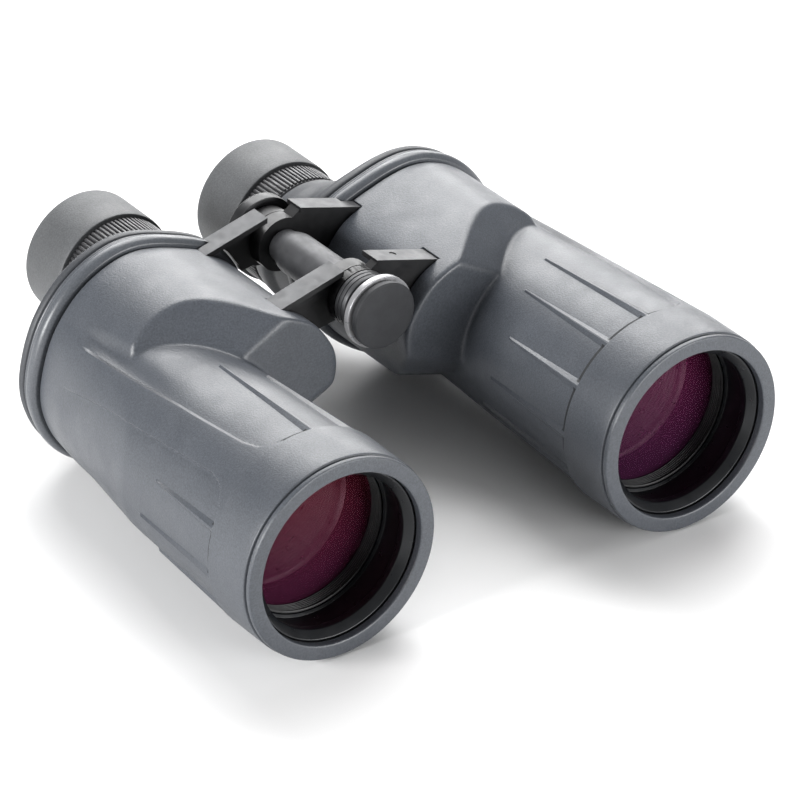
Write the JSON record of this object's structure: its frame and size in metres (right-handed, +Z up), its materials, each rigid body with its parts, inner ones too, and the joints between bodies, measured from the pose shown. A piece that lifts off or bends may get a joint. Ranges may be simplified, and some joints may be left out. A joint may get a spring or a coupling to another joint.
{
  "type": "binoculars",
  "caption": "Rubber-armoured porro-prism binoculars: two barrels joined by a central hinge, with individually focused eyepieces.",
  "frame": {"origin": "middle of the footprint: the hinge plane is x = 0, y = 0 is half way along, and z = 0 is under the two objective hoods", "axes": "+Z up, -Y towards what is looked at, +Y towards the user, +X to the user's left"},
  "size_m": [0.1948, 0.191, 0.075],
  "materials": {
    "armour_rubber": "matt moulded rubber with a fine grain",
    "bead_rubber": "smoother rounded rubber bead with a soft sheen",
    "cup_rubber": "soft matt rubber, lighter and slightly mottled",
    "black_metal": "black satin anodised metal with bright worn edges",
    "cap_metal": "dark grey matt turned cap",
    "cast_body": "die-cast aluminium, hidden under the rubber",
    "steel": "turned steel",
    "coated_glass": "multicoated objective lens with a deep maroon to violet reflection",
    "clear_glass": "polished optical glass",
    "seal_rubber": "black sealing rubber"
  },
  "bodies": {
    "right_half": {"objective_hood_right": "armour_rubber", "rubber_armour_right": "armour_rubber", "body_casting_right": "cast_body", "rear_cover_right": "armour_rubber", "cover_bead_right": "bead_rubber", "objective_cell_right": "black_metal", "objective_crown_lens_right": "coated_glass", "objective_flint_lens_right": "coated_glass", "objective_retaining_ring_right": "black_metal", "objective_o_ring_right": "seal_rubber", "front_prism_right": "clear_glass", "rear_prism_right": "clear_glass", "front_prism_clip_right": "steel", "rear_prism_clip_right": "steel", "prism_shelf_right": "cast_body", "eyepiece_tube_right": "black_metal", "front_hinge_arm_right": "black_metal", "rear_hinge_arm_right": "black_metal", "hinge_tube": "black_metal", "hinge_axle": "steel", "hinge_collar": "black_metal", "front_washer": "black_metal", "tripod_socket": "black_metal", "rear_washer": "steel", "rear_nut": "black_metal"},
    "left_half": {"objective_hood_left": "armour_rubber", "rubber_armour_left": "armour_rubber", "body_casting_left": "cast_body", "rear_cover_left": "armour_rubber", "cover_bead_left": "bead_rubber", "objective_cell_left": "black_metal", "objective_crown_lens_left": "coated_glass", "objective_flint_lens_left": "coated_glass", "objective_retaining_ring_left": "black_metal", "objective_o_ring_left": "seal_rubber", "front_prism_left": "clear_glass", "rear_prism_left": "clear_glass", "front_prism_clip_left": "steel", "rear_prism_clip_left": "steel", "prism_shelf_left": "cast_body", "eyepiece_tube_left": "black_metal", "front_hinge_arm_left": "black_metal", "rear_hinge_arm_left": "black_metal", "arm_set_screw": "steel"},
    "right_ocular": {"ocular_cell_right": "black_metal", "field_lens_right": "clear_glass", "eye_lens_right": "clear_glass", "eye_lens_ring_right": "black_metal"},
    "right_focus_ring": {"focus_ring_right": "black_metal", "eyecup_right": "cup_rubber"},
    "left_ocular": {"ocular_cell_left": "black_metal", "field_lens_left": "clear_glass", "eye_lens_left": "clear_glass", "eye_lens_ring_left": "black_metal"},
    "left_focus_ring": {"focus_ring_left": "black_metal", "eyecup_left": "cup_rubber"},
    "cap_seal": {"cap_o_ring": "seal_rubber"},
    "socket_cap": {"socket_cap": "cap_metal"}
  },
  "joints": [
    {"name": "interpupillary_fold", "type": "hinge", "parent": "right_half", "child": "left_half", "pos_m": [0, 0, 0.0613], "axis": [0, 1, 0], "range_deg": [-30, 20]},
    {"name": "left_focus_travel", "type": "slide", "parent": "left_half", "child": "left_ocular", "axis": [0, 1, 0], "range_m": [-0.0008, 0.0051]},
    {"name": "left_focus_turn", "type": "hinge", "parent": "left_ocular", "child": "left_focus_ring", "pos_m": [0.0324, 0.07, 0.0393], "axis": [0, 1, 0], "range_deg": [-40, 260]},
    {"name": "right_focus_travel", "type": "slide", "parent": "right_half", "child": "right_ocular", "axis": [0, 1, 0], "range_m": [-0.0008, 0.0051]},
    {"name": "right_focus_turn", "type": "hinge", "parent": "right_ocular", "child": "right_focus_ring", "pos_m": [-0.0324, 0.07, 0.0393], "axis": [0, 1, 0], "range_deg": [-40, 260]},
    {"name": "cap_travel", "type": "slide", "parent": "right_half", "child": "cap_seal", "axis": [0, -1, 0], "range_m": [0, 0.0051]},
    {"name": "cap_turn", "type": "hinge", "parent": "cap_seal", "child": "socket_cap", "pos_m": [0, -0.02, 0.0613], "axis": [0, -1, 0], "range_deg": [0, 1440]}
  ],
  "couplings": [
    {"joint": "left_focus_travel", "follows": "left_focus_turn", "m_per_rad": 0.001114},
    {"joint": "right_focus_travel", "follows": "right_focus_turn", "m_per_rad": 0.001114},
    {"joint": "cap_travel", "follows": "cap_turn", "m_per_rad": 0.000202}
  ]
}
